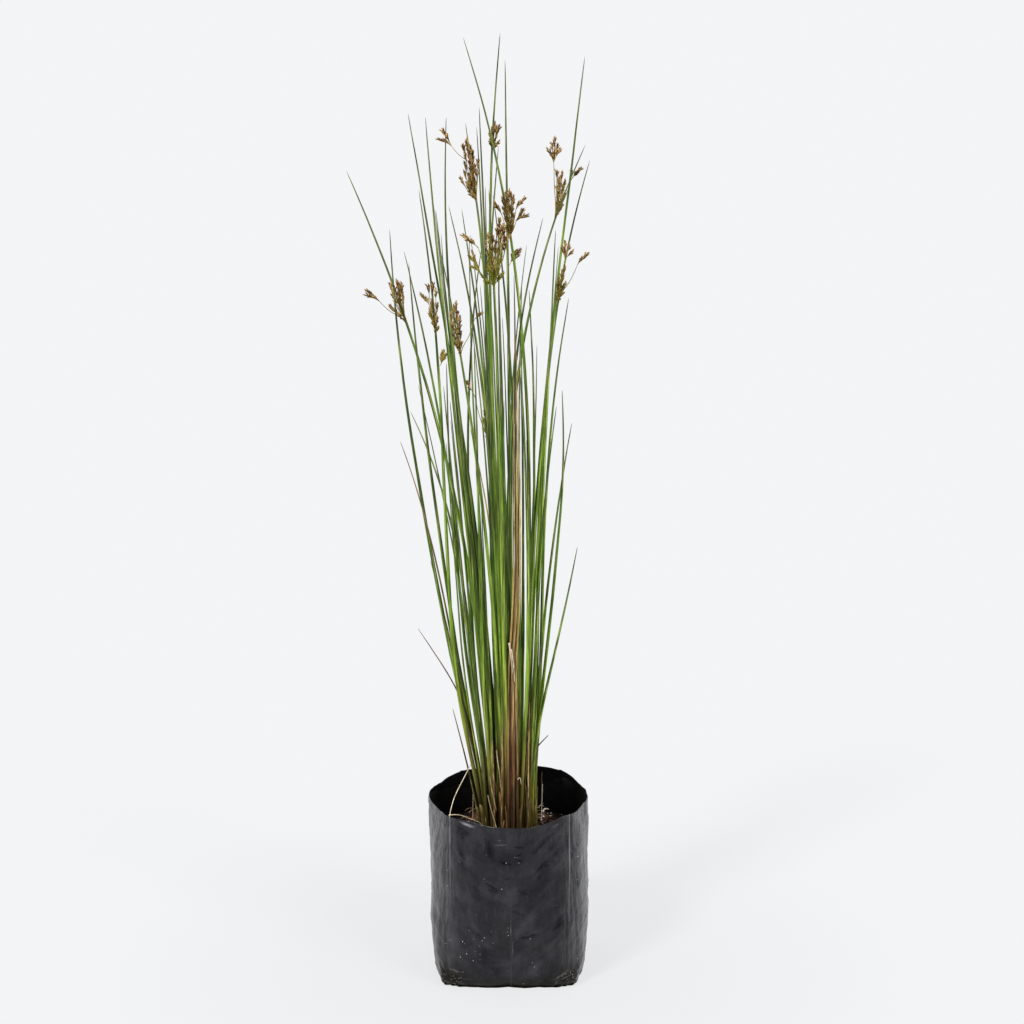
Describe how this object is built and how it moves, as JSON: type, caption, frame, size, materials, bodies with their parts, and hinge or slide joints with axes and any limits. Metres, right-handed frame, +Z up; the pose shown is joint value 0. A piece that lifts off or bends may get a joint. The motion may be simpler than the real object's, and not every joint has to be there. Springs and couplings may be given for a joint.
{
  "type": "potted rush",
  "caption": "Rush tussock of upright, tapering round stems with small brown flower heads, growing from potting mix in an open black film planter bag.",
  "frame": {"origin": "middle of the bag's flat base, on the surface it stands on", "axes": "+Z up along the stems, +X to the right and -Y towards the viewer, as the picture shows it"},
  "size_m": [0.2183, 0.2138, 0.8701],
  "materials": {
    "black_film": "satin",
    "potting_mix": "matte",
    "green_stem": "satin",
    "dry_stem": "matte",
    "flower_brown": "matte"
  },
  "bodies": {
    "root": {"planter_bag": "black_film", "potting_mix": "potting_mix", "rush_stem_01": "green_stem", "rush_stem_02": "green_stem", "rush_stem_03": "green_stem", "rush_stem_04": "green_stem", "rush_stem_05": "green_stem", "rush_stem_06": "green_stem", "rush_stem_07": "green_stem", "rush_stem_08": "green_stem", "rush_stem_09": "green_stem", "rush_stem_10": "green_stem", "rush_stem_11": "green_stem", "rush_stem_12": "green_stem", "rush_stem_13": "green_stem", "rush_stem_14": "green_stem", "rush_stem_15": "green_stem", "rush_stem_16": "green_stem", "rush_stem_17": "green_stem", "rush_stem_18": "green_stem", "rush_stem_19": "green_stem", "rush_stem_20": "green_stem", "rush_stem_21": "dry_stem", "rush_stem_22": "green_stem", "rush_stem_23": "green_stem", "rush_stem_24": "green_stem", "rush_stem_25": "dry_stem", "rush_stem_26": "green_stem", "rush_stem_27": "green_stem", "rush_stem_28": "dry_stem", "rush_stem_29": "dry_stem", "rush_stem_30": "dry_stem", "rush_stem_31": "green_stem", "rush_stem_32": "green_stem", "rush_stem_33": "green_stem", "rush_stem_34": "green_stem", "rush_stem_35": "green_stem", "rush_stem_36": "green_stem", "rush_stem_37": "green_stem", "rush_stem_38": "green_stem", "rush_stem_39": "green_stem", "rush_stem_40": "green_stem", "rush_stem_41": "dry_stem", "rush_stem_42": "green_stem", "rush_stem_43": "green_stem", "rush_stem_44": "green_stem", "rush_stem_45": "green_stem", "rush_stem_46": "green_stem", "rush_stem_47": "green_stem", "rush_stem_48": "dry_stem", "flower_head_01": "flower_brown", "flower_head_02": "flower_brown", "flower_head_03": "flower_brown", "flower_head_04": "flower_brown", "flower_head_05": "flower_brown", "flower_head_06": "flower_brown", "flower_head_07": "flower_brown", "flower_head_08": "flower_brown", "flower_head_09": "flower_brown", "flower_head_10": "flower_brown"}
  },
  "joints": []
}
